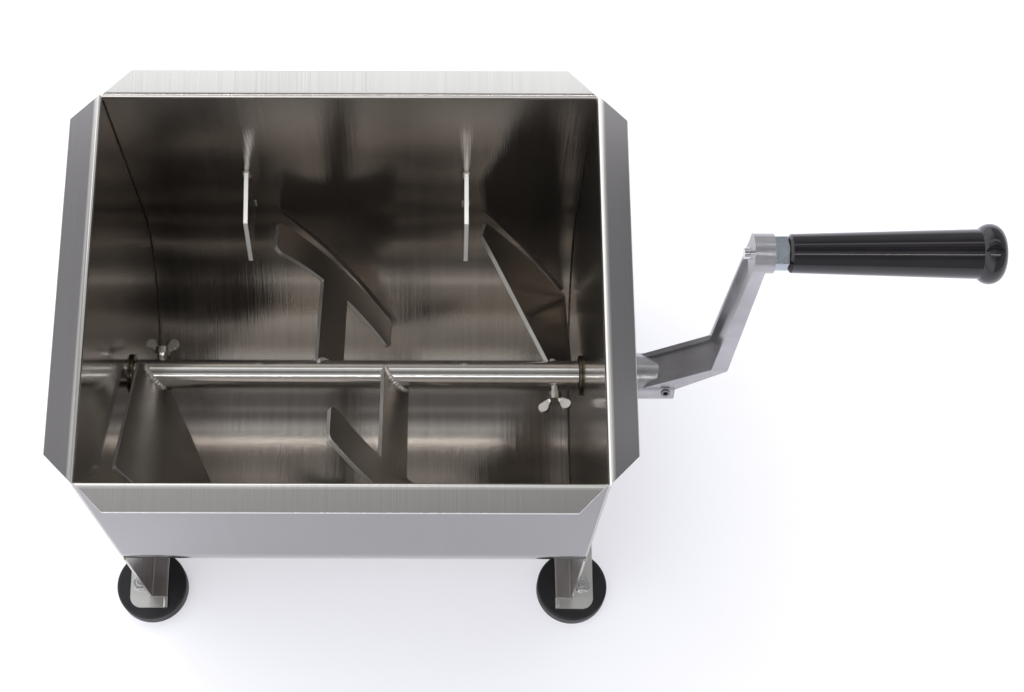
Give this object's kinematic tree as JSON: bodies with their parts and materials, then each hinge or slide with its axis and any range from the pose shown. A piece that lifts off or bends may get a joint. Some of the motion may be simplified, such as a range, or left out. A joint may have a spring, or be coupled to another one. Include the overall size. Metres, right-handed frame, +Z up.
{
  "type": "manual meat mixer",
  "caption": "Hand cranked meat mixer: folded steel hopper with a half-round trough, paddle shaft in end bushes, breaker fins, cranked handle with a revolving grip, rubber feet",
  "frame": {"origin": "On the ground plane under the middle of the hopper, where the four rubber feet stand", "axes": "+Z up, +X along the paddle shaft towards the crank, +Y to the rear, away from the side that the picture looks over"},
  "size_m": [0.5456, 0.277, 0.3775],
  "materials": {
    "hopper_sheet": "brushed stainless sheet",
    "fin_sheet": "brushed stainless sheet with ground weld marks",
    "stand_sheet": "brushed stainless sheet",
    "foot_rubber": "matt black rubber",
    "zinc_fasteners": "bright zinc plating",
    "boss_steel": "turned stainless",
    "bush_bronze": "turned bronze, satin",
    "shaft_steel": "ground steel",
    "tube_steel": "polished stainless tube",
    "paddle_steel": "brushed stainless plate with blank cut edges",
    "crank_metal": "satin plated casting",
    "set_screw_steel": "dark hardened steel",
    "nut_zinc": "bluish zinc plating",
    "grip_plastic": "gloss black"
  },
  "bodies": {
    "hopper": {"hopper_wrapper": "hopper_sheet", "end_plate_left": "hopper_sheet", "end_plate_right": "hopper_sheet", "breaker_fin_left": "fin_sheet", "breaker_fin_right": "fin_sheet", "stand_left": "stand_sheet", "stand_right": "stand_sheet", "foot_front_left": "foot_rubber", "foot_front_right": "foot_rubber", "foot_rear_left": "foot_rubber", "foot_rear_right": "foot_rubber", "foot_screws": "zinc_fasteners", "foot_washers": "zinc_fasteners", "foot_nuts": "zinc_fasteners", "bearing_boss_left": "boss_steel", "bearing_boss_right": "boss_steel", "bush_left": "bush_bronze", "bush_right": "bush_bronze"},
    "rotor": {"pivot_shaft": "shaft_steel", "drive_shaft": "shaft_steel", "paddle_tube": "tube_steel", "paddle_left_end": "paddle_steel", "paddle_front": "paddle_steel", "paddle_rear": "paddle_steel", "paddle_right_end": "paddle_steel", "crank_arm": "crank_metal", "crank_set_screw": "set_screw_steel", "grip_spindle": "shaft_steel", "spindle_nut": "nut_zinc"},
    "grip": {"grip": "grip_plastic"},
    "left_wing_screw": {"wing_screw_left": "zinc_fasteners"},
    "right_wing_screw": {"wing_screw_right": "zinc_fasteners"}
  },
  "joints": [
    {"name": "crank_turn", "type": "hinge", "parent": "hopper", "child": "rotor", "pos_m": [0, 0, 0.1495], "axis": [1, 0, 0], "continuous": true},
    {"name": "grip_spin", "type": "hinge", "parent": "rotor", "child": "grip", "pos_m": [0.31, 0, 0.3605], "axis": [1, 0, 0], "continuous": true},
    {"name": "left_wing_screw_turn", "type": "hinge", "parent": "rotor", "child": "left_wing_screw", "pos_m": [-0.1317, 0, 0.1495], "axis": [0, 0.9781, -0.2079], "range_deg": [0, 720]},
    {"name": "right_wing_screw_turn", "type": "hinge", "parent": "rotor", "child": "right_wing_screw", "pos_m": [0.1317, 0, 0.1495], "axis": [0, -0.9781, 0.2079], "range_deg": [0, 720]}
  ]
}
